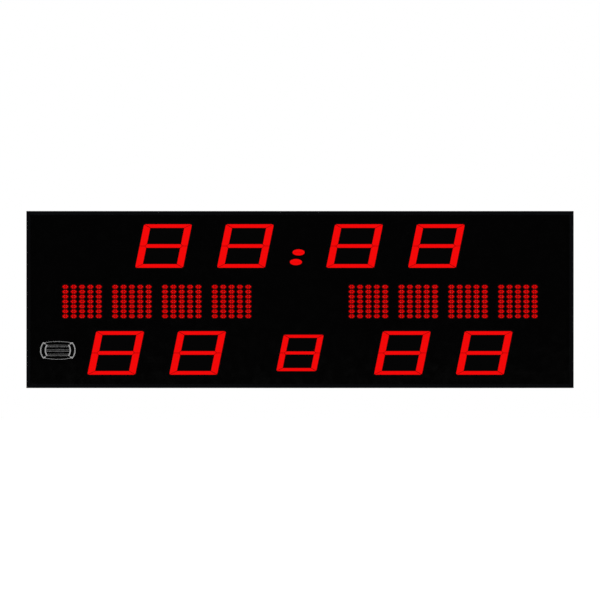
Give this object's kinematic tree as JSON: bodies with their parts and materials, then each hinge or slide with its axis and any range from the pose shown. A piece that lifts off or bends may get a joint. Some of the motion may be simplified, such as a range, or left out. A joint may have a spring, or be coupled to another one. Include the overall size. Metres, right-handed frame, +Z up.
{
  "type": "electronic scoreboard",
  "caption": "Wall-hung indoor electronic scoreboard with lit seven-segment digits, dot-matrix team names, a horn and a top-hinged service front.",
  "frame": {"origin": "middle of the upper wall channel, on the face that meets the wall", "axes": "+X to the viewer's right along the board's length, +Y from the viewer into the wall, +Z up"},
  "size_m": [2.5196, 0.1203, 0.815],
  "materials": {
    "frame_aluminium": "black anodised, satin",
    "panel_acrylic": "black acrylic sheet, gloss",
    "housing_plastic": "black moulded plastic, matt",
    "red_lens": "red diffusing plastic, lit from behind",
    "circuit_board": "green solder mask",
    "grille_paint": "grey paint, satin",
    "driver_metal": "black paint, satin",
    "cabinet_paint": "black powder coat, fine texture",
    "seal_rubber": "black cellular rubber, matt",
    "galvanised_steel": "galvanised sheet steel",
    "plain_steel": "plated steel, satin",
    "connector_plastic": "black moulded plastic, satin",
    "rocker_plastic": "dark red moulded plastic, gloss"
  },
  "bodies": {
    "cabinet": {"rear_tray": "cabinet_paint", "left_strike": "plain_steel", "right_strike": "plain_steel", "front_seal": "seal_rubber", "upper_wall_channel": "galvanised_steel", "lower_wall_channel": "galvanised_steel", "hinge_tray_leaf": "plain_steel", "hinge_pin": "plain_steel", "power_supply": "galvanised_steel", "controller_board": "circuit_board", "power_switch_body": "connector_plastic", "mains_inlet": "connector_plastic", "data_socket": "connector_plastic"},
    "front": {"frame_top": "frame_aluminium", "frame_bottom": "frame_aluminium", "frame_left": "frame_aluminium", "frame_right": "frame_aluminium", "face_panel": "panel_acrylic", "timer_digit_1_housing": "housing_plastic", "timer_digit_1_lens": "red_lens", "timer_digit_2_housing": "housing_plastic", "timer_digit_2_lens": "red_lens", "timer_digit_3_housing": "housing_plastic", "timer_digit_3_lens": "red_lens", "timer_digit_4_housing": "housing_plastic", "timer_digit_4_lens": "red_lens", "home_digit_1_housing": "housing_plastic", "home_digit_1_lens": "red_lens", "home_digit_2_housing": "housing_plastic", "home_digit_2_lens": "red_lens", "period_digit_housing": "housing_plastic", "period_digit_lens": "red_lens", "guest_digit_1_housing": "housing_plastic", "guest_digit_1_lens": "red_lens", "guest_digit_2_housing": "housing_plastic", "guest_digit_2_lens": "red_lens", "colon_lens": "red_lens", "home_letter_1": "housing_plastic", "home_letter_2": "housing_plastic", "home_letter_3": "housing_plastic", "home_letter_4": "housing_plastic", "guest_letter_1": "housing_plastic", "guest_letter_2": "housing_plastic", "guest_letter_3": "housing_plastic", "guest_letter_4": "housing_plastic", "home_name_lens": "red_lens", "guest_name_lens": "red_lens", "home_name_board": "circuit_board", "guest_name_board": "circuit_board", "timer_board": "circuit_board", "score_board": "circuit_board", "horn_grille": "grille_paint", "horn_flare": "housing_plastic", "horn_driver": "driver_metal", "hinge_front_leaf": "plain_steel"},
    "left_latch": {"left_latch": "plain_steel"},
    "right_latch": {"right_latch": "plain_steel"},
    "power_rocker": {"power_rocker": "rocker_plastic"},
    "fuse_drawer": {"fuse_drawer": "connector_plastic"},
    "volume_knob": {"volume_knob": "connector_plastic"}
  },
  "joints": [
    {"name": "front_hinge", "type": "hinge", "parent": "cabinet", "child": "front", "pos_m": [0, -0.079, 0.1163], "axis": [-1, 0, 0], "range_deg": [0, 90]},
    {"name": "left_latch_turn", "type": "hinge", "parent": "front", "child": "left_latch", "pos_m": [-0.682, -0.0978, -0.695], "axis": [0, 0, 1], "range_deg": [0, 90]},
    {"name": "right_latch_turn", "type": "hinge", "parent": "front", "child": "right_latch", "pos_m": [0.718, -0.0978, -0.695], "axis": [0, 0, 1], "range_deg": [0, 90]},
    {"name": "power_rocker_tilt", "type": "hinge", "parent": "cabinet", "child": "power_rocker", "pos_m": [1.2506, -0.0483, -0.605], "axis": [0, 1, 0], "range_deg": [-16, 0]},
    {"name": "fuse_drawer_slide", "type": "slide", "parent": "cabinet", "child": "fuse_drawer", "axis": [1, 0, 0], "range_m": [0, 0.015]},
    {"name": "volume_knob_turn", "type": "hinge", "parent": "cabinet", "child": "volume_knob", "pos_m": [1.2528, -0.0483, -0.43], "axis": [-1, 0, 0], "range_deg": [0, 280]}
  ]
}
